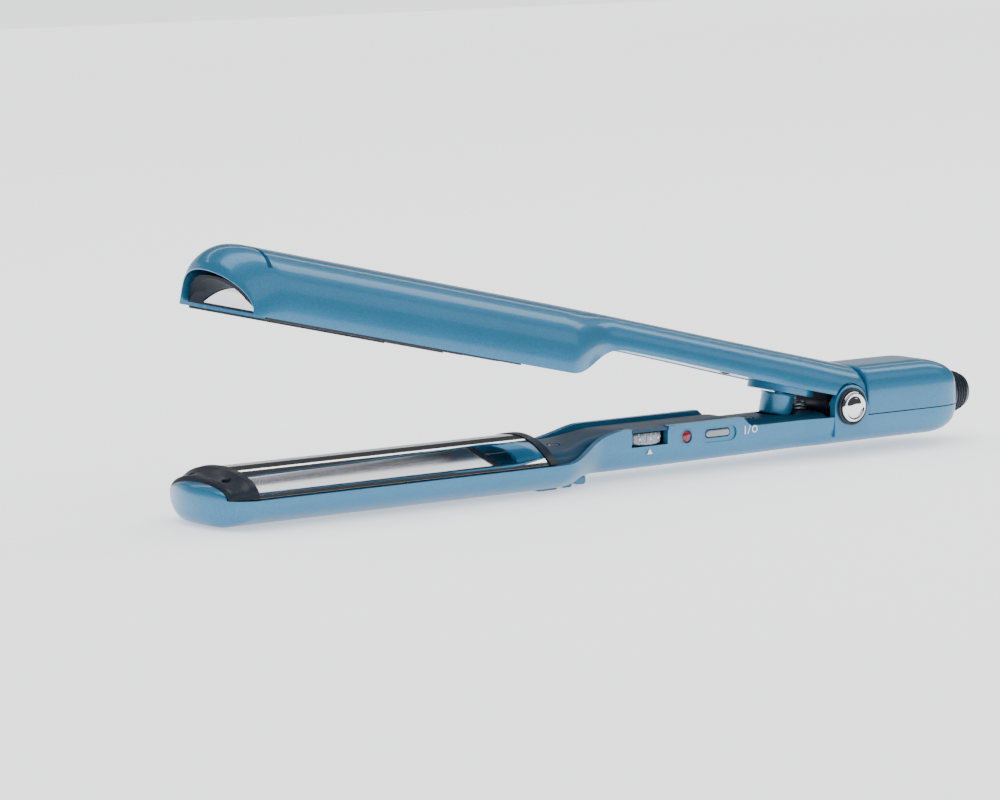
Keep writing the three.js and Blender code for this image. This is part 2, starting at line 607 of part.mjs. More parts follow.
// Block on the upper arm that turns on the pin.
function hingeKnuckle() {
  const shape = new THREE.Shape();
  shape.absarc(0, 0, 4.6, Math.PI * 0.95, Math.PI * 2.15, false);
  shape.lineTo(4, 8.6);
  shape.lineTo(-7.5, 8.6);
  shape.lineTo(-7.5, 6.5);
  return cut(extrudeY(shape, -7, 7), cylinderY(3.4, -20, 20, 0, 0, 24));
}
const pinSleeve = (radius, side, from, to) => cut(
  cylinderY(radius, side < 0 ? -to : from, side < 0 ? -from : to, 0, 0, 24),
  cylinderY(PIN_RADIUS + 0.15, -20, 20, 0, 0, 24));
const hingeBush = (side) => pinSleeve(3.1, side, 2.6, 7);
const hingeSpacer = (side) => pinSleeve(4, side, 7.3, 10.7);

// Coil that pushes the arms apart, drawn at its open length.
function openingSpring() {
  const [turns, radius, wire, low, high] = [3.5, 2.4, 0.4, -2.6, 1.4];
  class Helix extends THREE.Curve {
    getPoint(t, target = new THREE.Vector3()) {
      const angle = t * turns * Math.PI * 2;
      return target.set(radius * Math.cos(angle), radius * Math.sin(angle), lerp(low, high, t));
    }
  }
  const section = new THREE.Shape().absarc(0, 0, wire, 0, Math.PI * 2, false);
  return new THREE.ExtrudeGeometry(section, {
    extrudePath: new Helix(), steps: 49, bevelEnabled: false, curveSegments: 3,
  }).translate(SPRING_X, 0, 0);
}

// ---- controls -----------------------------------------------------------------------
function temperatureDial() {
  const wheel = turned([[0, 0], [7.4, 0], [DIAL_RADIUS, 0.5], [DIAL_RADIUS, 3.1], [7.4, 3.6],
    [0, 3.6]], 48);
  const notches = Array.from({ length: 16 }, (_, i) => {
    const angle = (i / 16) * Math.PI * 2;
    return box(-0.3, 0.3, DIAL_RADIUS - 0.35, DIAL_RADIUS + 1, 0.7, 2.9).rotateZ(angle);
  });
  return cut(wheel, ...notches, cylinderZ(1.6, -1, 1.6, 0, 0, 16))
    .translate(DIAL_X, DIAL_Y, DIAL_BASE);
}
const potentiometer = () => join(
  box(DIAL_X - 4, DIAL_X + 4, DIAL_Y - 3.2, DIAL_Y + 4, -6.9, -6),
  cylinderZ(1.3, -6.1, DIAL_BASE + 1.3, DIAL_X, DIAL_Y, 14));

const lampLens = () => turned([[0, 0], [1.8, 0], [1.8, 2.6], [1.5, 3.0], [0.8, 3.2], [0, 3.25]], 20)
  .rotateX(Math.PI / 2).translate(LAMP_X, CONTROL_FACE + 3.1, CONTROL_Z);
const lamp = () => turned([[0, 0], [1.9, 0], [1.9, 0.8], [1.5, 0.8], [1.5, 2.6], [0.9, 3.6], [0, 3.9]], 16)
  .rotateX(Math.PI / 2).translate(LAMP_X, CONTROL_FACE + 7.4, CONTROL_Z);

const powerButton = () => join(
  extrudeY(slotShape(BUTTON_X, CONTROL_Z, 4.7, 1.05), CONTROL_FACE + 0.2, CONTROL_FACE + 2.6,
    { curveSegments: 8 }),
  extrudeY(slotShape(BUTTON_X, CONTROL_Z, 5.6, 1.7), CONTROL_FACE + 2.5, CONTROL_FACE + 3.3,
    { curveSegments: 8 }));
const switchBody = () => join(
  box(BUTTON_X - 4, BUTTON_X + 4, -5.2, -1.6, -6.9, -3.4),
  cylinderY(0.9, -6.6, -5.2, BUTTON_X, CONTROL_Z, 12));

const controlBoard = () => cut(box(-94, -41.5, -7, 7, -8.4, -7.2),
  cylinderZ(1.3, -12, -4, -91, 0, 12));
const controlChip = () => box(-68, -60, 0.6, 6.4, -6.9, -5.3);
const capacitor = () => cylinderX(1.9, -56, -45, 3.2, -5, 18);
const terminalBlock = () => cut(box(14, 26, -6.5, 6.5, -8.8, -3),
  cylinderZ(1.3, -7, 0, 17, -3.5, 12), cylinderZ(1.3, -7, 0, 17, 3.5, 12));

// ---- small parts --------------------------------------------------------------------
// Pan-head screw standing on its tip: the head is up.
const screw = (length) => cut(
  turned([[0, 0], [1, 0.8], [1, length], [1.9, length], [1.9, length + 0.9],
    [1.3, length + 1.3], [0, length + 1.3]], 10),
  box(-1.3, 1.3, -0.3, 0.3, length + 0.7, length + 3),
  box(-0.3, 0.3, -1.3, 1.3, length + 0.7, length + 3));

function lead(points, radius = 0.7) {
  const path = new THREE.CatmullRomCurve3(points.map((p) => new THREE.Vector3(...p)));
  const section = new THREE.Shape().absarc(0, 0, radius, 0, Math.PI * 2, false);
  return new THREE.ExtrudeGeometry(section, {
    extrudePath: path, steps: 12, bevelEnabled: false, curveSegments: 3,
  });
}
const thermalFuse = (x, y, z) => cylinderX(1.1, x, x + 9, y, z, 12);

// ---- assembly -----------------------------------------------------------------------
const mesh = (name, geometry, finish) => {
  const piece = new THREE.Mesh(geometry, finish);
  piece.name = name;
  return piece;
};

const lowerArm = new THREE.Group();
lowerArm.add(
  mesh("lower_shell", lowerShell(), BLUE),
  mesh("lower_inner_cover", lowerInnerCover(), BLUE),
  mesh("rear_cover", rearCover(), BLUE),
  mesh("barrel_plate", barrelPlate(), CHROME),
  mesh("barrel_front_cap", barrelFrontCap(), BLACK),
  mesh("barrel_rear_collar", barrelRearCollar(), BLACK),
  mesh("lower_plate_carrier", lowerCarrier(), BLACK),
  mesh("lower_heat_spreader", lowerSpreader(), ALUMINIUM),
  mesh("lower_heater", lowerHeater(), CERAMIC),
  mesh("hinge_pin", hingePin(), STEEL),
  mesh("hinge_cap_near", hingeCap(-1), CHROME),
  mesh("hinge_cap_far", hingeCap(1), CHROME),
  mesh("hinge_washer_near", hingeWasher(-1), BLACK),
  mesh("hinge_washer_far", hingeWasher(1), BLACK),
  mesh("hinge_spacer_near", hingeSpacer(-1), STEEL),
  mesh("hinge_spacer_far", hingeSpacer(1), STEEL),
  mesh("opening_spring", openingSpring(), STEEL),
  mesh("temperature_dial", temperatureDial(), SILVER),
  mesh("potentiometer", potentiometer(), BLACK),
  mesh("lamp_lens", lampLens(), RED),
  mesh("lamp", lamp(), RED),
  mesh("power_button", powerButton(), SILVER),
  mesh("power_switch", switchBody(), BLACK),
  mesh("control_board", controlBoard(), BOARD),
  mesh("control_chip", controlChip(), BLACK),
  mesh("filter_capacitor", capacitor(), BLACK),
  mesh("terminal_block", terminalBlock(), BLACK),
  mesh("cord_swivel", cordSwivel(), BLACK),
  mesh("swivel_clip", swivelClip(), STEEL),
  mesh("lower_thermal_fuse", thermalFuse(-134, 0, -10.2), STEEL),
  mesh("lower_heater_lead", lead([[-137, 3, -9.9], [-120, 3.5, -10.8], [-108, 3, -11],
    [-97, 1, -9.6], [-94.6, 0.5, -8]]), LEAD),
);
LID_SCREWS.forEach((x, i) => {
  const piece = mesh(["lower_cover_screw_front", "lower_cover_screw_rear"][i], screw(4), STEEL);
  piece.position.set(x, LID_SCREW_Y, lidCrest(x) - 1.3 - 4);
  lowerArm.add(piece);
});
[-1, 1].forEach((side) => {
  const piece = mesh(side < 0 ? "rear_screw_near" : "rear_screw_far", screw(5), STEEL);
  piece.rotation.x = Math.PI;
  piece.position.set(REAR_SCREW_X, side * REAR_SCREW_Y, -5.5);
  lowerArm.add(piece);
});

const upperArm = new THREE.Group();
upperArm.rotation.y = OPEN_ANGLE;
upperArm.add(
  mesh("upper_shell", upperShell(), BLUE),
  mesh("upper_inner_cover", upperInnerCover(), BLUE),
  mesh("upper_plate", upperPlate(), CHROME),
  mesh("upper_plate_carrier", upperCarrier(), BLACK),
  mesh("upper_heat_spreader", upperSpreader(), ALUMINIUM),
  mesh("upper_heater", upperHeater(), CERAMIC),
  mesh("wire_post", wirePost(), BLUE),
  mesh("hinge_knuckle", hingeKnuckle(), BLACK),
  mesh("hinge_bush_near", hingeBush(-1), CERAMIC),
  mesh("hinge_bush_far", hingeBush(1), CERAMIC),
  mesh("upper_thermal_fuse", thermalFuse(-134, 0, 7.6), STEEL),
  mesh("upper_heater_lead", lead([[-137, 3, 7.8], [-118, 4, 8.2], [-90, 3, 8], [-50, 2, 7.6],
    [-26, 0.6, 7.4], [-19.6, 0, 6], [POST_X, 0, 2], [POST_X, 0, -4]]), LEAD),
);
UPPER_LID_SCREWS.forEach((x, i) => {
  const piece = mesh(["upper_cover_screw_front", "upper_cover_screw_rear"][i], screw(4), STEEL);
  piece.rotation.x = Math.PI;
  piece.position.set(x, LID_SCREW_Y, upperLidBase(x) + 0.9 + 4);
  upperArm.add(piece);
});

// The origin is under the middle of the object, level with the lowest rib.
const iron = new THREE.Group();
iron.add(lowerArm, upperArm);
iron.position.set(-(NOSE_X + SWIVEL_END) / 2, 0, -REST_Z);

export default iron;
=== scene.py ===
"""Looks of a hair styling iron: two hinged jaws, a polished barrel and a pearl blue housing.

Shapes are worked out in millimetres round the hinge axis with the jaws closed, then the
upper arm is opened and everything is moved to where the CAD model has its hinge pin.
"""
import json
import math

import bpy
import numpy as np
from mathutils import Matrix, Vector


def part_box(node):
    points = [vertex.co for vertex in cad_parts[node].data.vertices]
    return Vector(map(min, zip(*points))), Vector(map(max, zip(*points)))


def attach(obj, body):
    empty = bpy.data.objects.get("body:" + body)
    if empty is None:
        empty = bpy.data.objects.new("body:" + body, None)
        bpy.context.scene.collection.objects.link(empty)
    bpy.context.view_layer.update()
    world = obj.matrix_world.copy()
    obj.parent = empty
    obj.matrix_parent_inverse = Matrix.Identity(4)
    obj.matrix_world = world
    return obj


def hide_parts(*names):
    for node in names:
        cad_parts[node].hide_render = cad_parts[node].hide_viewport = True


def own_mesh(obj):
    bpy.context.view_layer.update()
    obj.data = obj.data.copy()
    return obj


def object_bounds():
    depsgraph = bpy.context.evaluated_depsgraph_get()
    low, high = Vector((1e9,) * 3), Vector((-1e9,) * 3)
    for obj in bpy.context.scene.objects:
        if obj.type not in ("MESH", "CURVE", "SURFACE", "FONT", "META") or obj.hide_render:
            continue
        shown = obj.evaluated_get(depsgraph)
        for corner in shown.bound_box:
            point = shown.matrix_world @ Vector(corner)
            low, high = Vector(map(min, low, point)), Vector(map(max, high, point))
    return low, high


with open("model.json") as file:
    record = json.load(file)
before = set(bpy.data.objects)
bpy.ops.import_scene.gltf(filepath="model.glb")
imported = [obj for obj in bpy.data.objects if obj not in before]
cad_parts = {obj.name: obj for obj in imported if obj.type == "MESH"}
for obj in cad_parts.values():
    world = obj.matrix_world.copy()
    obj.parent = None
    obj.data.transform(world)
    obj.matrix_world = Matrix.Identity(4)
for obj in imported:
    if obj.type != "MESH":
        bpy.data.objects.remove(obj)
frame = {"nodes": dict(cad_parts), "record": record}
cad_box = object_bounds()

MM = 0.001


def box_mm(node):
    low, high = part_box(node)
    return np.array(low) / MM, np.array(high) / MM


pin_low, pin_high = box_mm("hinge_pin")
PIVOT = (pin_low + pin_high) / 2
OPEN_ANGLE = math.radians(12.5)


def measured(node):
    """A node's box in millimetres, measured from the hinge axis."""
    low, high = box_mm(node)
    return low - PIVOT, high - PIVOT


# ---- driving dimensions, in millimetres from the hinge axis ---------------------------
shell_low, shell_high = measured("lower_shell")
plate_low, plate_high = measured("barrel_plate")
JAW_HALF = (shell_high[1] - shell_low[1]) / 2
NOSE_X = shell_low[0]
REAR_END = shell_high[0]
PLATE_FRONT, PLATE_REAR = plate_low[0], plate_high[0]
REAR_FACE = measured("rear_cover")[0][0]
NOSE_BULGE, VISOR_X, VISOR_BULGE = 5.5, -239.6, 8.0
WALL, FIT = 2.0, 0.3
WAIST_START, WAIST_END = -117.0, -95.0
TRAY_RIM, TRAY_BOTTOM = -6.9, -15.3
GRIP_TOP, GRIP_BOTTOM = 0.0, -12.6
GRIP_HALF, HINGE_HALF = 11.4, 13.4
SPLIT_Z, REAR_CREST = -3.3, 11.3
JAW_BASE, JAW_CREST, MOUTH_CREST, ROLL_LENGTH = -5.4, 13.7, 5.0, 12.0
BARREL_HALF, BARREL_CREST, BARREL_RISE = 18.0, 0.6, 7.5
BARREL_RADIUS = (BARREL_HALF**2 + BARREL_RISE**2) / (2 * BARREL_RISE)
BARREL_CENTRE = BARREL_CREST - BARREL_RADIUS
PLATE_THICK, PLATE_GAP = 1.5, 0.6
UPPER_PLATE_HALF = 15.4
UPPER_PLATE_RADIUS = BARREL_RADIUS + PLATE_GAP
SWIVEL_Z, SWIVEL_NECK = -1.0, 5.8
CONTROL_Z, CONTROL_FACE = -3.9, -GRIP_HALF
DIAL_X, DIAL_Y, DIAL_RADIUS, DIAL_BASE = -79.0, -3.8, 8.0, -5.1
LAMP_X, BUTTON_X = -64.5, -52.0
POST_X, SPRING_X = -18.7, -10.4


# ---- mesh helpers ---------------------------------------------------------------------
def smoothstep(x, a, b):
    t = min(1.0, max(0.0, (x - a) / (b - a)))
    return t * t * (3 - 2 * t)


def lerp(a, b, t):
    return a + (b - a) * t


def spread(*spans):
    """Stations along X: (start, end, step) spans run together."""
    out = []
    for start, end, step in spans:
        count = max(1, round(abs(end - start) / step))
        out += list(np.linspace(start, end, count, endpoint=False))
    return out + [spans[-1][1]]


def emit(name, verts, faces, upper=False):
    """A mesh object from points in hinge millimetres."""
    points = np.array(verts, dtype=float)
    if upper:
        c, s = math.cos(OPEN_ANGLE), math.sin(OPEN_ANGLE)
        points = np.stack([points[:, 0] * c + points[:, 2] * s, points[:, 1],
                           -points[:, 0] * s + points[:, 2] * c], axis=1)
    points = (points + PIVOT) * MM
    mesh = bpy.data.meshes.new(name)
    mesh.from_pydata([tuple(p) for p in points], [], faces)
    mesh.update()
    obj = bpy.data.objects.new(name, mesh)
    bpy.context.scene.collection.objects.link(obj)
    return obj


def outward(verts, faces):
    """Turns the faces over where the closed mesh has its inside out."""
    p = np.array(verts, dtype=float)
    volume = 0.0
    for f in faces:
        for i in range(1, len(f) - 1):
            volume += np.dot(p[f[0]], np.cross(p[f[i]], p[f[i + 1]]))
    return faces if volume > 0 else [tuple(reversed(f)) for f in faces]


def skin(rings):
    """Closed body through rings of points."""
    count = len(rings[0])
    verts = [p for ring in rings for p in ring]
    faces = []
    for r in range(len(rings) - 1):
        for i in range(count):
            j = (i + 1) % count
            a, b = r * count, (r + 1) * count
            faces.append((a + i, b + i, b + j, a + j))
    for ring, base, flip in ((rings[0], 0, False), (rings[-1], (len(rings) - 1) * count, True)):
        verts.append(tuple(np.mean(np.array(ring), axis=0)))
        tip = len(verts) - 1
        for i in range(count):
            j = (i + 1) % count
            faces.append((tip, base + j, base + i) if flip else (tip, base + i, base + j))
    return verts, outward(verts, faces)


def prism(outline, axis, start, end):
    """Extrudes a flat outline along an axis. Its points are the other two axes in order."""
    place = {"x": lambda u, v, w: (w, u, v), "y": lambda u, v, w: (u, w, v),
             "z": lambda u, v, w: (u, v, w)}[axis]
    n = len(outline)
    verts = [place(u, v, w) for w in (start, end) for u, v in outline]
    faces = [tuple(range(n)), tuple(range(2 * n - 1, n - 1, -1))]
    faces += [(i, i + n, (i + 1) % n + n, (i + 1) % n) for i in range(n)]
    return verts, outward(verts, faces)


def block(x0, x1, y0, y1, z0, z1):
    return prism([(x0, y0), (x1, y0), (x1, y1), (x0, y1)], "z", z0, z1)


def circle(u, v, radius, count=64, start=0.0, end=2 * math.pi):
    closed = abs(end - start - 2 * math.pi) < 1e-9
    angles = np.linspace(start, end, count, endpoint=not closed)
    return [(u + radius * math.cos(a), v + radius * math.sin(a)) for a in angles]


def slot_outline(u, v, half_length, half_height, count=24):
    straight = half_length - half_height
    return (circle(u + straight, v, half_height, count, -math.pi / 2, math.pi / 2)
            + circle(u - straight, v, half_height, count, math.pi / 2, 3 * math.pi / 2))


def lathe(profile, centre, axis, count=96, notch=None):
    """Turns [radius, height] points round an axis through centre."""
    verts, faces = [], []
    rows = []
    for r, h in profile:
        if r < 1e-6:
            rows.append([len(verts)])
            verts.append((0.0, 0.0, h))
            continue
        row = []
        for i in range(count):
            a = 2 * math.pi * i / count
            radius = r * (notch(a, r, h) if notch else 1.0)
            row.append(len(verts))
            verts.append((radius * math.cos(a), radius * math.sin(a), h))
        rows.append(row)
    closed = profile[0] == profile[-1]
    if closed:
        verts = verts[:-len(rows[-1])]
        rows[-1] = rows[0]
    for low, high in zip(rows, rows[1:]):
        for i in range(count):
            j = (i + 1) % count
            if len(low) == 1:
                faces.append((low[0], high[i], high[j]))
            elif len(high) == 1:
                faces.append((low[i], high[0], low[j]))
            else:
                faces.append((low[i], high[i], high[j], low[j]))
    turn = {"z": lambda p: p, "x": lambda p: (p[2], p[0], p[1]),
            "y": lambda p: (p[1], p[2], p[0]), "-y": lambda p: (p[0], -p[2], p[1])}[axis]
    verts = [tuple(np.array(turn(p)) + np.array(centre)) for p in verts]
    return verts, outward(verts, faces)


def apply_tools(obj, steps):
    """Joins or cuts an object with others, in order, and removes those others."""
    for kind, tool in steps:
        modifier = obj.modifiers.new("carve", "BOOLEAN")
        modifier.operation = kind
        modifier.solver = "EXACT"
        modifier.object = tool
    graph = bpy.context.evaluated_depsgraph_get()
    mesh = bpy.data.meshes.new_from_object(obj.evaluated_get(graph))
    obj.modifiers.clear()
    obj.data = mesh
    mesh.name = obj.name
    for _, tool in steps:
        bpy.data.objects.remove(tool)
    return obj


def carve(name, body, cuts=(), adds=(), upper=False):
    """A body with others joined to it and then cut from it, all as (points, faces)."""
    obj = emit(name, *body, upper=upper)
    steps = [("UNION", emit("tool", *part, upper=upper)) for part in adds]
    steps += [("DIFFERENCE", emit("tool", *part, upper=upper)) for part in cuts]
    return apply_tools(obj, steps)


def dress(obj, body, material, bevel=0.25, angle=32, replaces=(), segments=2):
    """Softens edges, smooths, paints and hangs a piece on its CAD body."""
    mesh = obj.data
    mesh.materials.clear()
    mesh.materials.append(material)
    mesh.shade_smooth()
    mesh.set_sharp_from_angle(angle=math.radians(angle))
    if bevel:
        modifier = obj.modifiers.new("edge", "BEVEL")
        modifier.width = bevel * MM
        modifier.segments = segments
        modifier.limit_method = "ANGLE"
        modifier.angle_limit = math.radians(angle + 6)
        modifier.use_clamp_overlap = True
        normals = obj.modifiers.new("normals", "WEIGHTED_NORMAL")
        normals.keep_sharp = True
    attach(obj, body)
    if replaces:
        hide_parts(*replaces)
    return obj


# ---- materials ------------------------------------------------------------------------
def material(name, base, roughness, metallic=0.0, coat=0.0, coat_roughness=0.1, grain=1500.0,
             tint=0.08, rough_shift=0.06, bump=0.02, flake=0.0, stretch=(1, 1, 1), **sockets):
    """Procedural finish: mottled colour, uneven roughness and a fine surface texture."""
    mat = bpy.data.materials.new(name)
    mat.use_nodes = True
    tree = mat.node_tree
    shader = tree.nodes["Principled BSDF"]
    link = tree.links.new
    place = tree.nodes.new("ShaderNodeTexCoord")
    mapping = tree.nodes.new("ShaderNodeMapping")
    mapping.inputs["Scale"].default_value = stretch
    link(place.outputs["Object"], mapping.inputs["Vector"])
    broad = tree.nodes.new("ShaderNodeTexNoise")
    broad.inputs["Scale"].default_value = 60.0
    broad.inputs["Detail"].default_value = 3.0
    fine = tree.nodes.new("ShaderNodeTexNoise")
    fine.inputs["Scale"].default_value = grain
    fine.inputs["Detail"].default_value = 2.0
    for node in (broad, fine):
        link(mapping.outputs["Vector"], node.inputs["Vector"])
    colour = tree.nodes.new("ShaderNodeValToRGB")
    low, high = colour.color_ramp.elements
    low.position, high.position = 0.3, 0.7
    low.color = (*[c * (1 - tint) for c in base], 1)
    high.color = (*[min(1, c * (1 + tint)) for c in base], 1)
    link(broad.outputs["Fac"], colour.inputs["Fac"])
    last = colour.outputs["Color"]
    if flake:
        cells = tree.nodes.new("ShaderNodeTexVoronoi")
        cells.inputs["Scale"].default_value = 5200.0
        link(place.outputs["Object"], cells.inputs["Vector"])
        spark = tree.nodes.new("ShaderNodeValToRGB")
        spark.color_ramp.elements[0].position = 0.0
        spark.color_ramp.elements[0].color = (1 - flake, 1 - flake, 1 - flake, 1)
        spark.color_ramp.elements[1].position = 1.0
        spark.color_ramp.elements[1].color = (1 + flake, 1 + flake, 1 + flake, 1)
        link(cells.outputs["Color"], spark.inputs["Fac"])
        mix = tree.nodes.new("ShaderNodeMix")
        mix.data_type = "RGBA"
        mix.blend_type = "MULTIPLY"
        mix.inputs["Factor"].default_value = 1.0
        link(last, mix.inputs["A"])
        link(spark.outputs["Color"], mix.inputs["B"])
        last = mix.outputs["Result"]
    link(last, shader.inputs["Base Color"])
    span = tree.nodes.new("ShaderNodeMapRange")
    span.inputs["To Min"].default_value = max(0.02, roughness - rough_shift)
    span.inputs["To Max"].default_value = roughness + rough_shift
    link(fine.outputs["Fac"], span.inputs["Value"])
    link(span.outputs["Result"], shader.inputs["Roughness"])
    relief = tree.nodes.new("ShaderNodeBump")
    relief.inputs["Strength"].default_value = bump
    relief.inputs["Distance"].default_value = 0.0002
    link(fine.outputs["Fac"], relief.inputs["Height"])
    link(relief.outputs["Normal"], shader.inputs["Normal"])
    shader.inputs["Metallic"].default_value = metallic
    shader.inputs["Coat Weight"].default_value = coat
    shader.inputs["Coat Roughness"].default_value = coat_roughness
    for key, value in sockets.items():
        shader.inputs[key.replace("_", " ")].default_value = value
    return mat


BLUE = material("pearl_blue", (0.030, 0.190, 0.350), 0.36, metallic=0.45, coat=0.55,
                coat_roughness=0.09, flake=0.22, tint=0.03, bump=0.012, grain=2400)
# The lower lid is the same pearl blue plastic as the housing; this darker copy of it is painted
# shade on the lid's top
SHADED_BLUE = material("painted_shade_blue", (0.008, 0.055, 0.105), 0.4, metallic=0.1, coat=0.08,
                     flake=0.12, tint=0.05, bump=0.01, Specular_IOR_Level=0.3)
CHROME = material("polished_metal", (0.86, 0.86, 0.87), 0.055, metallic=1.0, tint=0.015,
                  rough_shift=0.012, bump=0.004, grain=900, stretch=(0.15, 3, 3))
CAP_CHROME = material("cap_chrome", (0.9, 0.9, 0.9), 0.05, metallic=1.0, tint=0.01,
                      rough_shift=0.01, bump=0.003)
BLACK = material("trim_black", (0.014, 0.019, 0.030), 0.36, coat=0.05, tint=0.15, bump=0.03,
                 grain=3200, Specular_IOR_Level=0.35)
LINER = material("liner_black", (0.010, 0.014, 0.022), 0.62, tint=0.2, bump=0.05, grain=3000,
                 Specular_IOR_Level=0.1)
SATIN = material("satin_metal", (0.72, 0.72, 0.74), 0.2, metallic=1.0, tint=0.02, bump=0.006,
                 stretch=(0.15, 3, 3))
STEEL = material("steel", (0.52, 0.53, 0.55), 0.28, metallic=1.0, tint=0.06, bump=0.03,
                 stretch=(4, 1, 1))
ALUMINIUM = material("cast_aluminium", (0.6, 0.61, 0.63), 0.42, metallic=1.0, tint=0.08,
                     bump=0.12, grain=900)
CERAMIC = material("ceramic", (0.8, 0.77, 0.7), 0.6, tint=0.05, bump=0.08)
BOARD = material("board", (0.02, 0.11, 0.05), 0.35, coat=0.3, tint=0.25, bump=0.03)
SILVER = material("control_silver", (0.27, 0.30, 0.34), 0.3, metallic=0.55, coat=0.2,
                  tint=0.05, bump=0.02, flake=0.1)
RED = material("lamp_red", (0.32, 0.012, 0.03), 0.12, coat=0.6, tint=0.1, bump=0.01,
               Transmission_Weight=0.35)
SLEEVE = material("woven_sleeve", (0.72, 0.68, 0.6), 0.75, tint=0.18, bump=0.35, grain=2600)
WHITE_INK = material("white_ink", (0.82, 0.86, 0.88), 0.5, tint=0.04, bump=0.03)
BY_SLOT = {"shell_blue": BLUE, "plate_metal": CHROME, "trim_black": BLACK, "steel": STEEL,
           "heat_aluminium": ALUMINIUM, "ceramic": CERAMIC, "board_green": BOARD,
           "control_silver": SILVER, "lamp_red": RED, "lead_sleeve": SLEEVE}

for subpart in frame["record"]["subparts"]:
    node = frame["nodes"][subpart["node"]]
    node.data.materials.clear()
    node.data.materials.append(BY_SLOT[subpart["material_slot"]])
    for polygon in node.data.polygons:
        polygon.material_index = 0


# ---- sections -------------------------------------------------------------------------
def bowl(half, open_z, closed_z, power=2.5, flat=1.0, count=72):
    t = np.linspace(0, math.pi, count + 1)
    c, s = np.cos(t), np.maximum(np.sin(t), 0)
    y = -np.sign(c) * np.abs(c) ** (2 / power) * half
    z = open_z + (closed_z - open_z) * np.minimum(1.0, flat * s ** (2 / power))
    return list(zip(y, z))


def well(half, open_z, closed_z, power, brim, flat=1.04):
    return ([(-half, brim)] + bowl(half, open_z, closed_z, power, flat) + [(half, brim)])


def at(x, section):
    return [(x, y, z) for y, z in section]


def inset(u, radius):
    return 0.0 if u >= radius else radius - math.sqrt(radius**2 - (radius - u) ** 2)


def bulged(section, x, front, bulge, fade=40.0):
    share = 1 - smoothstep(x, front, front + fade)
    return [(x + bulge * share * (y / JAW_HALF) ** 2, y, z) for y, z in section]


ROUNDING = [5 * (1 - math.cos(a)) for a in np.linspace(0, math.pi / 2, 14)]


def lower_half(x):
    waist = lerp(JAW_HALF, GRIP_HALF, smoothstep(x, WAIST_START, WAIST_END))
    hinge = lerp(waist, HINGE_HALF, smoothstep(x, -20, -4))
    return hinge - inset(REAR_END - x, 12) * 0.3


def lower_rim(x):
    return lerp(TRAY_RIM, GRIP_TOP, smoothstep(x, WAIST_START, -88))


def lower_bottom(x):
    return (lerp(TRAY_BOTTOM, GRIP_BOTTOM, smoothstep(x, -112, -97))
            + 0.8 * smoothstep(x, -97, 20) + inset(REAR_END - x, 10) * 0.35)


def lid_crest(x):
    return (lerp(-3, GRIP_TOP - 0.6, smoothstep(x, -110, -86))
            - 0.9 * smoothstep(x, -43, -39))


def upper_half(x):
    waist = lerp(JAW_HALF, GRIP_HALF, smoothstep(x, WAIST_START, WAIST_END))
    return lerp(waist, HINGE_HALF - 0.3, smoothstep(x, -30, -6))


def upper_base(x):
    return lerp(JAW_BASE, 4, smoothstep(x, WAIST_START, -92)) - 1.5 * smoothstep(x, -92, -10)


def upper_crest(x):
    return JAW_CREST - 1.1 * smoothstep(x, -120, 5)


def roll_crest(x):
    u = min(1.0, (x - VISOR_X) / ROLL_LENGTH)
    return lerp(MOUTH_CREST, JAW_CREST, math.sqrt(max(0.0, 1 - (1 - u) ** 2)))


def crest_at(x):
    return min(roll_crest(x), upper_crest(x))


def arch_power(x):
    return 2 + 0.35 * smoothstep(x, VISOR_X, VISOR_X + ROLL_LENGTH)


def upper_lid_base(x):
    return max(upper_base(x) + 0.2, lid_crest(x) + 1.2)


def arch(radius, half, count=96):
    """Points of an arc of the barrel's circle, from -half to +half."""
    angle = math.asin(half / radius)
    return [(radius * math.sin(a), BARREL_CENTRE + radius * math.cos(a))
            for a in np.linspace(-angle, angle, count)]


def strip(radius, thick, half, floor=None):
    """Section of a curved plate, cut level at the height floor."""
    outer, inner = arch(radius, half), arch(radius - thick, half)
    if floor is not None:
        def clip(points, r):
            reach = math.sqrt(r**2 - (floor - BARREL_CENTRE) ** 2)
            kept = [p for p in points if p[1] > floor]
            return [(-reach, floor)] + kept + [(reach, floor)]
        outer, inner = clip(outer, radius), clip(inner, radius - thick)
    return outer + inner[::-1]


def solid_arch(radius, floor, half):
    return arch(radius, half) + [(half, floor), (-half, floor)]


# ---- lower arm ------------------------------------------------------------------------
LOWER_X = spread((-231.5, -118, 4), (-118, -86, 0.8), (-86, -22, 4), (-22, -2, 1),
                 (-2, 34, 4), (34, 46.9, 0.6))


def nose_face(section):
    """The flush front of the nose: the section drawn in towards the middle of the rim."""
    return [bulged([(y * k, TRAY_RIM + (z - TRAY_RIM) * k) for y, z in section],
                   NOSE_X - 0.4 * (1 - k * k), NOSE_X, NOSE_BULGE)
            for k in np.linspace(0.05, 0.97, 14)]


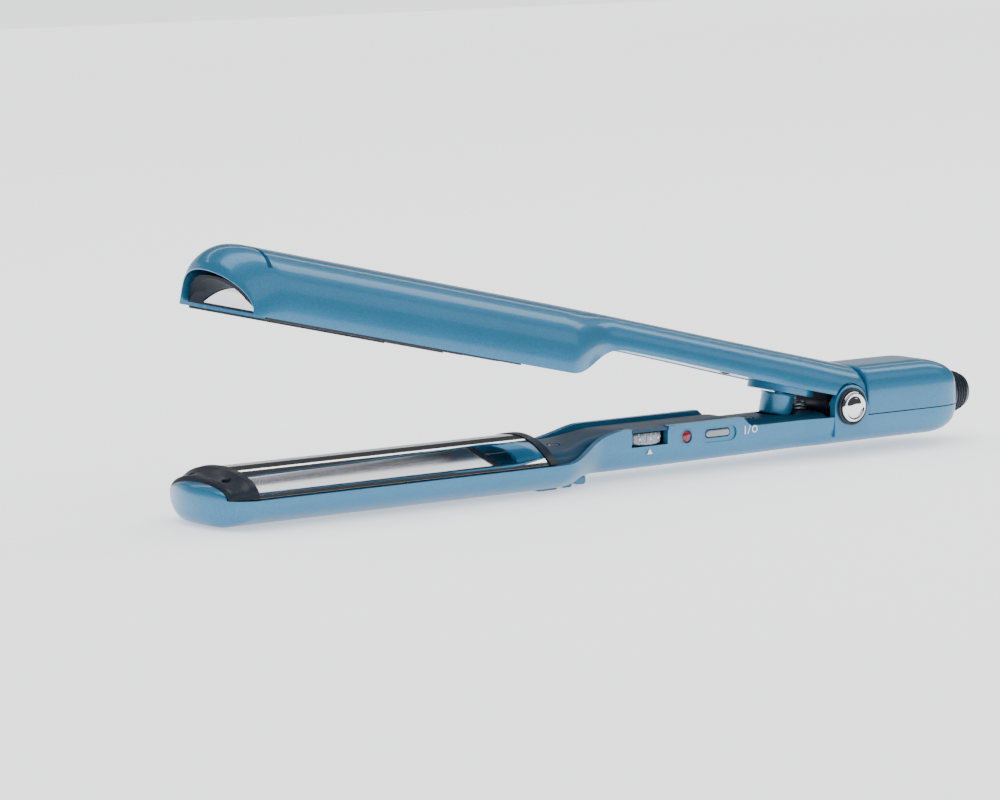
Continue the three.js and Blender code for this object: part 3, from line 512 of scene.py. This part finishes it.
def lower_housing():
    rings = nose_face(bowl(JAW_HALF - 5, TRAY_RIM, TRAY_BOTTOM + 4, 2.6, 1.04))
    for u in ROUNDING:
        sunk = inset(u, 5)
        rings.append(bulged(bowl(JAW_HALF - sunk, TRAY_RIM, TRAY_BOTTOM + sunk * 0.8, 2.6, 1.04),
                            NOSE_X + u, NOSE_X, NOSE_BULGE))
    for x in LOWER_X:
        rings.append(bulged(bowl(lower_half(x), lower_rim(x), lower_bottom(x),
                                 2.6 + smoothstep(x, -110, -90), 1.04), x, NOSE_X, NOSE_BULGE))
    hollow = [at(x, well(lower_half(x) - WALL, lower_rim(x), lower_bottom(x) + WALL, 3.4,
                         lower_rim(x) + 9)) for x in [-229] + LOWER_X[1:] if x < 43.6]
    crest = TRAY_RIM + 3.9
    crown = nose_face(bowl(JAW_HALF - 5, TRAY_RIM - 1, crest - 1.25, 2))
    for u in ROUNDING + [8.0]:
        sunk = inset(u, 5)
        crown.append(bulged(bowl(JAW_HALF - sunk, TRAY_RIM - 1, crest - sunk * 0.25, 2),
                            NOSE_X + u, NOSE_X, NOSE_BULGE))
    cap_front = measured("barrel_front_cap")[0][0]
    ribs = []
    rest = shell_low[2]
    for x0, x1, low in ((-121, -112.4, rest), (-111.2, -107, rest + 0.2),
                        (-106.2, -101.8, rest + 0.7)):
        ribs.append(prism([(x0, -13.7), (x0 + 0.5, low + 0.5), (x0 + 1.1, low),
                           (x1 - 0.6, low), (x1, low + 0.5), (x1, -12.7)], "y", -9, 9))
    ears = []
    for side in (-1, 1):
        outline = ([(-6.6, -9), (REAR_FACE - FIT, -9), (REAR_FACE - FIT, 0)]
                   + circle(0, 0, 6.6, 40, 0.3, math.pi))
        a, b = sorted((side * HINGE_HALF, side * (HINGE_HALF - 2.4)))
        ears.append(prism(outline, "y", a, b))
    cuts = [
        skin(hollow),
        block(REAR_FACE - 0.01, REAR_END + 5, -20, 20, SPLIT_Z, 20),
        prism([(-42.5, 3), (-42.5, GRIP_TOP + 0.1), (-39, -2.9), (-6.6, -2.9), (-6.6, 3)],
              "y", -20, 20),
    ]
    late = [
        block(DIAL_X - 7, DIAL_X + 7, -15, -5, DIAL_BASE - 0.4, 5),
        prism(circle(LAMP_X, CONTROL_Z, 2.1, 48), "y", -15, -5),
        prism(slot_outline(BUTTON_X, CONTROL_Z, 5, 1.35), "y", -15, -5),
        prism(slot_outline(BUTTON_X + 0.3, CONTROL_Z - 0.35, 6.9, 2.35), "y", -15,
              CONTROL_FACE + 0.55),
        prism(circle(0, SWIVEL_Z, SWIVEL_NECK + FIT, 64), "x", 40, 52),
        prism(circle(0, 0, 2.1, 48), "y", -20, 20),
        prism(circle(30, -6.5, 2.2, 40), "z", -16, -10.4),
        prism(circle(30, 6.5, 2.2, 40), "z", -16, -10.4),
    ]
    shell = carve("lower_housing", skin(rings), cuts=cuts)
    front = carve("crown", skin(crown), cuts=[block(cap_front - FIT, -220, -20, 20, -12, 0)])
    steps = [("UNION", front)]
    steps += [("UNION", emit("tool", *part)) for part in ribs + ears]
    steps += [("DIFFERENCE", emit("tool", *part)) for part in late]
    return apply_tools(shell, steps)


dress(lower_housing(), "lower_arm", BLUE, bevel=0.3, replaces=["lower_shell"])


def lower_lid():
    def edge(x):
        return lower_rim(x) - 0.8 - 1.3 * smoothstep(x, -43, -39)

    def half(x):
        return lower_half(x) - WALL - 2 * FIT

    stations = spread((-118.7, -88, 0.8), (-88, -44, 4), (-44, -38, 0.5), (-38, -7.6, 4))
    body = skin([at(x, bowl(half(x), edge(x) - 2, lid_crest(x), 3)) for x in stations])
    hollow = skin([at(x, bowl(half(x) - 1.6, edge(x) - 8, lid_crest(x) - 1.8, 3))
                   for x in [-130] + stations[1:-1] + [-4]])
    cuts = [hollow, prism(circle(DIAL_X, DIAL_Y, DIAL_RADIUS + 0.7, 64), "z", -9, -1.2),
            prism(circle(LAMP_X, CONTROL_Z, 2.6, 40), "y", -15, -3.5),
            prism(slot_outline(BUTTON_X, CONTROL_Z, 6, 2), "y", -15, -4),
            prism(circle(POST_X - 0.5, 0, 6.2, 64), "z", -12, 6),
            prism(circle(SPRING_X, 0, 3.3, 48), "z", -3.4, 6)]
    for x in (-110, -34):
        cuts.append(prism(circle(x, -4, 2.1, 40), "z", lid_crest(x) - 1.4, 6))
    lip = block(DIAL_X - 6.7, DIAL_X + 6.7, CONTROL_FACE + 0.1, -5.5, -1.2, -0.3)
    cup = prism(circle(SPRING_X, 0, 4.1, 48), "z", -5, -1.9)
    return carve("lower_lid", body, cuts=cuts, adds=[lip, cup])


# painted shade: the lid takes the darkened copy of the housing blue
dress(lower_lid(), "lower_arm", SHADED_BLUE, bevel=0.2,
      replaces=["lower_inner_cover"])


def rear_housing():
    def crest(x):
        return REAR_CREST - inset(REAR_END - x, 14) * 0.4

    def rings(stations, shrink, open_z):
        out = []
        for x in stations:
            lead = inset(x - REAR_FACE, 1) * 0.8
            half = lower_half(x) - lead - shrink
            out.append(at(x, bowl(half, open_z, crest(x) - lead - shrink, 4.5)))
        return out

    stations = spread((REAR_FACE, REAR_FACE + 1, 0.15), (REAR_FACE + 1, 33, 3),
                      (33, REAR_END - 0.1, 0.7))
    outer = skin(rings(stations, 0, SPLIT_Z + FIT))
    inner = skin(rings(spread((REAR_FACE + WALL, 33, 3), (33, 43.5, 1)), WALL, SPLIT_Z - 3))
    return carve("rear_housing", outer, cuts=[
        inner, prism(circle(0, SWIVEL_Z, SWIVEL_NECK + FIT, 64), "x", 40, 52)])


dress(rear_housing(), "lower_arm", BLUE, bevel=0.3, replaces=["rear_cover"])

barrel = emit("barrel", *prism(strip(BARREL_RADIUS, PLATE_THICK, BARREL_HALF,
                                     TRAY_RIM + FIT), "x", PLATE_FRONT, PLATE_REAR))
dress(barrel, "lower_arm", CHROME, bevel=0.35, segments=3,
      replaces=["barrel_plate"])


def front_cap():
    profile = [(NOSE_X + 3.2, 14.2, -3.2), (-234, 14.6, -2.2), (-233.2, 15.4, -1.6),
               (-232, 16.2, -1.5), (-230, 17.2, -1.1), (-228.8, 17.8, -0.2),
               (-228.1, 18, 0.5), (PLATE_FRONT - FIT, 18, 0.8)]
    xs = [p[0] for p in profile]
    dense = np.linspace(xs[0], xs[-1], 40)
    halves = np.interp(dense, xs, [p[1] for p in profile])
    crests = np.interp(dense, xs, [p[2] for p in profile])
    body = skin([at(x, bowl(h, TRAY_RIM + FIT, c, 2.05)) for x, h, c in
                 zip(dense, halves, crests)])
    pads = [prism(slot_outline(-231.1, side * 8.4, 1.4, 1.3), "z", -4.4, 3)
            for side in (-1, 1)]
    return carve("front_cap", body, cuts=pads)


dress(front_cap(), "lower_arm", BLACK, bevel=0.2,
      replaces=["barrel_front_cap"])

collar = emit("rear_collar", *prism(solid_arch(BARREL_RADIUS + 0.3, TRAY_RIM + FIT,
                                               BARREL_HALF), "x", PLATE_REAR + FIT, -119.2))
dress(collar, "lower_arm", BLACK, bevel=0.4, segments=3,
      replaces=["barrel_rear_collar"])

# ---- hinge ----------------------------------------------------------------------------
for side, label in ((-1, "near"), (1, "far")):
    axis = "-y" if side < 0 else "y"
    profile = [(0, 0), (4.75, 0), (4.75, 0.75), (4.66, 1.05), (4.45, 1.32), (4.15, 1.5),
               (3.85, 1.54), (3.65, 1.42), (3.52, 1.2), (3.38, 1.12), (3.2, 1.16),
               (2.6, 1.45), (1.9, 1.68), (1.1, 1.82), (0, 1.86)]
    centre = (0, side * (HINGE_HALF + 0.35), 0)
    cap = emit("hinge_button_" + label, *lathe(profile, centre, axis))
    dress(cap, "lower_arm", CAP_CHROME, bevel=0, angle=50,
          replaces=["hinge_cap_" + label])
    ring = [(4.95, 0.02), (5.7, 0.02), (5.7, 0.72), (5.62, 0.92), (5.45, 1.0), (5.2, 1.0),
            (5.02, 0.9), (4.95, 0.7), (4.95, 0.02)]
    seat = emit("hinge_ring_" + label, *lathe(ring, (0, side * HINGE_HALF, 0), axis))
    dress(seat, "lower_arm", BLACK, bevel=0, angle=50,
          replaces=["hinge_washer_" + label])

# ---- controls -------------------------------------------------------------------------
def dial_notch(angle, radius, height):
    if radius < 7 or height < 0.5 or height > 3.1:
        return 1.0
    phase = (angle * 24 / math.pi) % 2.0
    return 1.0 - (0.03 if phase < 0.6 else 0.0)


dial_profile = [(0, 0), (7.4, 0), (7.75, 0.15), (8, 0.5), (8, 0.9), (8, 1.8), (8, 2.7),
                (8, 3.1), (7.75, 3.45), (7.4, 3.6), (0, 3.6)]
dial = emit("dial", *lathe(dial_profile, (DIAL_X, DIAL_Y, DIAL_BASE), "z", 288, dial_notch))
dress(dial, "temperature_dial", SILVER, bevel=0, angle=40,
      replaces=["temperature_dial"])
for i in range(9):
    a = -math.pi / 2 + math.radians((i - 4) * 27)
    size = 0.28 + 0.03 * i
    x, y = DIAL_X + 8.0 * math.cos(a), DIAL_Y + 8.0 * math.sin(a)
    dot = [(0, 0.14), (size * 0.8, 0.12), (size, 0.02), (size, -0.2), (0, -0.2)]
    v, f = lathe(dot, (0, 0, 0), "y", 20)
    turn = Matrix.Rotation(a - math.pi / 2, 3, "Z")
    v = [tuple(turn @ Vector(p) + Vector((x, y, DIAL_BASE + 1.8))) for p in v]
    dress(emit(f"dial_dot_{i + 1}", v, f), "temperature_dial", WHITE_INK,
          bevel=0, angle=50)

lens = [(0, -0.2), (1.8, -0.2), (1.8, 2.5), (1.72, 2.8), (1.45, 3.02), (1.0, 3.17),
        (0.5, 3.24), (0, 3.26)]
dress(emit("lamp_window", *lathe(lens, (LAMP_X, CONTROL_FACE + 3.1, CONTROL_Z), "-y", 64)),
      "lower_arm", RED, bevel=0, angle=50, replaces=["lamp_lens"])
bezel = [(1.86, -0.35), (2.06, -0.35), (2.42, -0.1), (2.42, 0.02), (2.2, 0.12), (1.95, 0.06),
         (1.86, -0.05), (1.86, -0.35)]
dress(emit("lamp_bezel", *lathe(bezel, (LAMP_X, CONTROL_FACE + 0.02, CONTROL_Z), "-y", 64)),
      "lower_arm", BLUE, bevel=0, angle=50)


def button():
    bar = prism(slot_outline(BUTTON_X, CONTROL_Z, 4.7, 1.05), "y", CONTROL_FACE + 0.25,
                CONTROL_FACE + 2.6)
    flange = prism(slot_outline(BUTTON_X, CONTROL_Z, 5.6, 1.7), "y", CONTROL_FACE + 2.5,
                   CONTROL_FACE + 3.3)
    return carve("push_bar", bar, adds=[flange])


dress(button(), "power_button", SILVER, bevel=0.3, segments=3,
      replaces=["power_button"])


def ink(name, outline, depth=0.05):
    obj = emit(name, *prism(outline, "y", CONTROL_FACE - depth, CONTROL_FACE + 0.3))
    return dress(obj, "lower_arm", WHITE_INK, bevel=0)


ink("pointer", [(DIAL_X - 0.95, -7.9), (DIAL_X + 0.95, -7.9), (DIAL_X, -6.3)])
ink("mark_on", [(-41.6, -5.2), (-41.2, -5.2), (-41.2, -2.6), (-41.6, -2.6)])
ink("mark_slash", [(-40.5, -5.2), (-40.2, -5.2), (-39.2, -2.6), (-39.5, -2.6)])
ring = emit("mark_off", *lathe([(0.75, -0.3), (1.1, -0.3), (1.1, 0.05), (0.75, 0.05),
                                (0.75, -0.3)], (-37.6, CONTROL_FACE, -3.9), "-y", 48))
dress(ring, "lower_arm", WHITE_INK, bevel=0)
tab = emit("window_tab", *prism([(-71.9, -1.3), (-69.2, -1.3), (-69.2, -0.55), (-70.2, 0.02),
                                 (-71.9, 0.02)], "y", CONTROL_FACE - 0.35, CONTROL_FACE + 0.6))
dress(tab, "lower_arm", BLUE, bevel=0.15)

# ---- upper arm ------------------------------------------------------------------------
UPPER_X = spread((VISOR_X, VISOR_X + 1, 0.1), (VISOR_X + 1, VISOR_X + 13, 0.5),
                 (VISOR_X + 13, -118, 4), (-118, -88, 0.8), (-88, -32, 4), (-32, -3, 1.5))


def upper_section(x):
    shrink = 0.25 * inset(x - VISOR_X, 4)
    return bulged(bowl(upper_half(x) - shrink, upper_base(x), crest_at(x), arch_power(x)),
                  x, VISOR_X, VISOR_BULGE)


def behind_arm(x):
    v, f = block(0, 40, -30, 30, -40, 40)
    c, s = math.cos(-OPEN_ANGLE), math.sin(-OPEN_ANGLE)
    return [((px + x) * c + pz * s, py, -(px + x) * s + pz * c) for px, py, pz in v], f


def upper_housing():
    outer = skin([upper_section(x) for x in UPPER_X + [0, 3, 6, 9]])
    lead = well(JAW_HALF - WALL * 0.6, JAW_BASE, MOUTH_CREST - 0.9, 2, JAW_BASE - 9, 1.0)
    hollow = [[(VISOR_X + u + VISOR_BULGE * (y / JAW_HALF) ** 2, y, z) for y, z in lead]
              for u in (-14, 0.1)]
    for x in [x for x in UPPER_X if x > VISOR_X + 0.3] + [0, 4.6]:
        thin = lerp(0.6, 1, smoothstep(x, VISOR_X + 10, VISOR_X + 24)) * WALL
        hollow.append(bulged(
            well(upper_half(x) - thin, upper_base(x),
                 max(MOUTH_CREST - 0.9, crest_at(x) - thin), arch_power(x),
                 upper_base(x) - 9, 1.0), x, VISOR_X, VISOR_BULGE))
    slit = [(-227.3, -14), (-226, -14.3), (-225.9, 0), (-226, 14.3), (-227.3, 14), (-227.2, 0)]
    cuts = [skin(hollow), behind_arm(REAR_FACE - 0.6), prism(slit, "z", 7, 20),
            block(-7, 20, -30, 30, -20, 1.2)]
    for a, b in ((-30, -10), (10, 30)):
        cuts.append(prism(circle(0, 0, 7.2, 64), "y", a, b))
    return carve("upper_housing", outer, cuts=cuts, upper=True)


dress(upper_housing(), "upper_arm", BLUE, bevel=0.3, replaces=["upper_shell"])


def upper_liner():
    stations = spread((-236.6, -225, 0.6), (-225, -119.5, 6))
    outer = skin([bulged(bowl(upper_half(x) - WALL - FIT, JAW_BASE - 0.4,
                              max(3.6, crest_at(x) - 8.2), 2.2), x, VISOR_X, VISOR_BULGE)
                  for x in stations])
    room = prism(solid_arch(UPPER_PLATE_RADIUS + PLATE_THICK + FIT, -12,
                            UPPER_PLATE_HALF + FIT), "x", PLATE_FRONT - FIT, PLATE_REAR + FIT)
    channel = prism(solid_arch(BARREL_RADIUS + 0.9, -12, BARREL_HALF - 0.1), "x", -246, -115)
    funnel = []
    for x in [-246, -236.6, -234.5, -232, -229, PLATE_FRONT - FIT]:
        wide = 1 - smoothstep(x, -236.6, PLATE_FRONT)
        funnel.append(bulged(bowl(UPPER_PLATE_HALF + 0.9 * wide, -12, 1.2 + 1.7 * wide, 2.2),
                             x, VISOR_X, VISOR_BULGE))
    return carve("upper_liner", outer, upper=True, cuts=[
        room, channel, skin(funnel), block(-222.5, -126, -12.6, 12.6, -2, 12)])


dress(upper_liner(), "upper_arm", LINER, bevel=0.25,
      replaces=["upper_plate_carrier"])
upper_plate = emit("concave_plate", *prism(
    strip(UPPER_PLATE_RADIUS + PLATE_THICK, PLATE_THICK, UPPER_PLATE_HALF), "x", PLATE_FRONT,
    PLATE_REAR), upper=True)
dress(upper_plate, "upper_arm", SATIN, bevel=0.35, segments=3,
      replaces=["upper_plate"])


for side, label in ((-1, "near"), (1, "far")):
    a, b = sorted((side * 17.9, side * 18.75))
    for number, (start, end, drop) in enumerate(((-228.5, -158, 0.65), (-158, -136, 0.4))):
        trim = emit(f"edge_trim_{label}_{number + 1}", *block(start, end, a, b,
                    JAW_BASE - drop, JAW_BASE + 0.3), upper=True)
        dress(trim, "upper_arm", BLACK, bevel=0.1)


def upper_lid():
    def half(x):
        return upper_half(x) - WALL - 2 * FIT - 0.2

    def section(x):
        base, h = upper_lid_base(x), half(x)
        return at(x, [(-h, base + 1.8), (-h, base), (h, base), (h, base + 1.8)])

    body = skin([section(x) for x in spread((-113.5, -88, 0.8), (-88, -12, 6))])
    pad = prism(slot_outline(-18, 0, 11, 8.2), "z", 0.6, 3.6)
    cuts = [prism(circle(POST_X, 0, 3.6, 48), "z", -2, 8)]
    for x in (-98, -45):
        cuts.append(prism(circle(x, -4, 2.1, 40), "z", -2, upper_lid_base(x) + 1))
    return carve("upper_lid", body, cuts=cuts, adds=[pad], upper=True)


dress(upper_lid(), "upper_arm", BLUE, bevel=0.25,
      replaces=["upper_inner_cover"])
post = [(2.4, -6.4), (4.4, -6.4), (4.8, -6.2), (5, -5.8), (5, -0.6), (5.15, -0.1), (5.6, 0.3),
        (2.4, 0.3), (2.4, -6.4)]
dress(emit("lead_post", *lathe(post, (POST_X, 0, 0), "z", 72), upper=True), "upper_arm", BLUE,
      bevel=0, angle=40, replaces=["wire_post"])

# ---- spring ---------------------------------------------------------------------------
spring_low, spring_high = measured("opening_spring")


def coil():
    turns, radius, wire, sides, steps = 3.5, 2.4, 0.4, 12, 168
    low, high = spring_low[2] + wire, spring_high[2] - wire
    rings = []
    for i in range(steps + 1):
        t = i / steps
        a = 2 * math.pi * turns * t
        centre = np.array([SPRING_X + radius * math.cos(a), radius * math.sin(a),
                           lerp(low, high, t)])
        out = np.array([math.cos(a), math.sin(a), 0])
        rings.append([tuple(centre + wire * (out * math.cos(b) + np.array([0, 0, 1])
                                             * math.sin(b)))
                      for b in np.linspace(0, 2 * math.pi, sides, endpoint=False)])
    return skin(rings)


spring = dress(emit("opening_coil", *coil()), "lower_arm", STEEL, bevel=0, angle=60,
               replaces=["opening_spring"])
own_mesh(spring)

# ---- cord inlet -----------------------------------------------------------------------
gland_low, gland_high = measured("cord_swivel")
gland_length = gland_high[0] - gland_low[0]
gland = [(3.7, 0), (8, 0), (8, 2.6), (5.8, 2.6), (5.8, 7.4), (7.4, 7.4), (7.75, 7.6),
         (7.9, 8.2), (7.9, 8.8), (7.75, 9.6)]
for i in range(4):
    h = 10.2 + i * 1.5
    r = 7.55 - i * 0.45
    gland += [(r, h), (r - 0.45, h + 0.25), (r - 0.45, h + 0.65), (r - 0.1, h + 0.9)]
gland += [(5.5, gland_length - 1.0), (5.3, gland_length - 0.3), (4.9, gland_length),
          (4.0, gland_length), (3.7, gland_length - 0.3), (3.7, 0)]
dress(emit("cord_gland", *lathe(gland, (gland_low[0], 0, SWIVEL_Z), "x", 96)), "cord_swivel",
      BLACK, bevel=0, angle=40, replaces=["cord_swivel"])

for name in ("lower_cover_screw_front", "lower_cover_screw_rear", "rear_screw_near",
             "rear_screw_far", "upper_cover_screw_front", "upper_cover_screw_rear"):
    soften = frame["nodes"][name].modifiers.new("edge", "BEVEL")
    soften.width = 0.1 * MM
    soften.limit_method = "ANGLE"

# ---- stage ----------------------------------------------------------------------------
floor_mesh = bpy.data.meshes.new("floor")
floor_mesh.from_pydata([(-40, -40, 0), (40, -40, 0), (40, 40, 0), (-40, 40, 0)], [], [(0, 1, 2, 3)])
floor = bpy.data.objects.new("floor", floor_mesh)
bpy.context.scene.collection.objects.link(floor)
floor.location.z = cad_box[0][2] - 0.0001
floor_mesh.materials.append(material("floor", (0.93, 0.935, 0.94), 0.95, tint=0.004, bump=0.0,
                                     rough_shift=0.02, Emission_Strength=0.7,
                                     Emission_Color=(1, 1, 1, 1)))

# an even pale studio; polished surfaces see it dimmer, so that the lamps stand out in them
world = bpy.data.worlds.new("studio")
bpy.context.scene.world = world
world.use_nodes = True
tree = world.node_tree
tree.nodes.clear()
link = tree.links.new
path = tree.nodes.new("ShaderNodeLightPath")
pale = tree.nodes.new("ShaderNodeBackground")
pale.inputs["Color"].default_value = (0.97, 0.98, 1.0, 1)
pale.inputs["Strength"].default_value = 1.15
dim = tree.nodes.new("ShaderNodeBackground")
dim.inputs["Color"].default_value = (0.9, 0.95, 1.0, 1)
dim.inputs["Strength"].default_value = 0.07
choose = tree.nodes.new("ShaderNodeMixShader")
out = tree.nodes.new("ShaderNodeOutputWorld")
link(path.outputs["Is Glossy Ray"], choose.inputs["Fac"])
link(pale.outputs["Background"], choose.inputs[1])
link(dim.outputs["Background"], choose.inputs[2])
link(choose.outputs["Shader"], out.inputs["Surface"])


def strip_lamp(name, rise, distance, width, brightness, length=4.0):
    """A long soft lamp lying along X, `rise` degrees above the far horizon."""
    light = bpy.data.lights.new(name, "AREA")
    light.shape = "RECTANGLE"
    light.size, light.size_y = length, width
    light.energy = 4 * brightness * length * width
    obj = bpy.data.objects.new(name, light)
    bpy.context.scene.collection.objects.link(obj)
    angle = math.radians(rise)
    obj.location = (0.9, distance * math.cos(angle), distance * math.sin(angle))
    obj.rotation_euler = (angle - math.pi / 2, 0, 0)
    obj.visible_camera = False
    return obj


strip_lamp("low_panel", 9, 2.0, 0.65, 0.5)
strip_lamp("rim_strip", 39.5, 1.8, 0.13, 2.4)
strip_lamp("overhead", 82, 1.5, 0.62, 2.2)
strip_lamp("front_panel", 133, 1.8, 0.9, 0.55)

# ---- camera ---------------------------------------------------------------------------
CAMERA_AZIMUTH, CAMERA_ELEVATION = 38.52, 7.6
CAMERA_DISTANCE = 1472.28
AIM_FROM_HINGE = (-110, 0, 30)  # a point between the jaws
AIM_LEFT, AIM_DOWN = 13.19, 20.11  # the view's middle, from that point
azimuth, elevation = math.radians(CAMERA_AZIMUTH), math.radians(CAMERA_ELEVATION)
forward = Vector((math.sin(azimuth) * math.cos(elevation),
                  math.cos(azimuth) * math.cos(elevation), -math.sin(elevation)))
right = Vector((math.cos(azimuth), -math.sin(azimuth), 0))
up = right.cross(forward)
aim = Vector(tuple(PIVOT)) + Vector(AIM_FROM_HINGE) - AIM_LEFT * right - AIM_DOWN * up
camera_data = bpy.data.cameras.new("camera")
camera_data.lens = 180.3
camera_data.sensor_width = 36
camera_data.clip_end = 150
camera = bpy.data.objects.new("camera", camera_data)
bpy.context.scene.collection.objects.link(camera)
turned = Matrix((right, up, -forward)).transposed().to_4x4()
camera.matrix_world = Matrix.Translation((aim - CAMERA_DISTANCE * forward) * MM) @ turned
bpy.context.scene.camera = camera

bpy.context.view_layer.update()
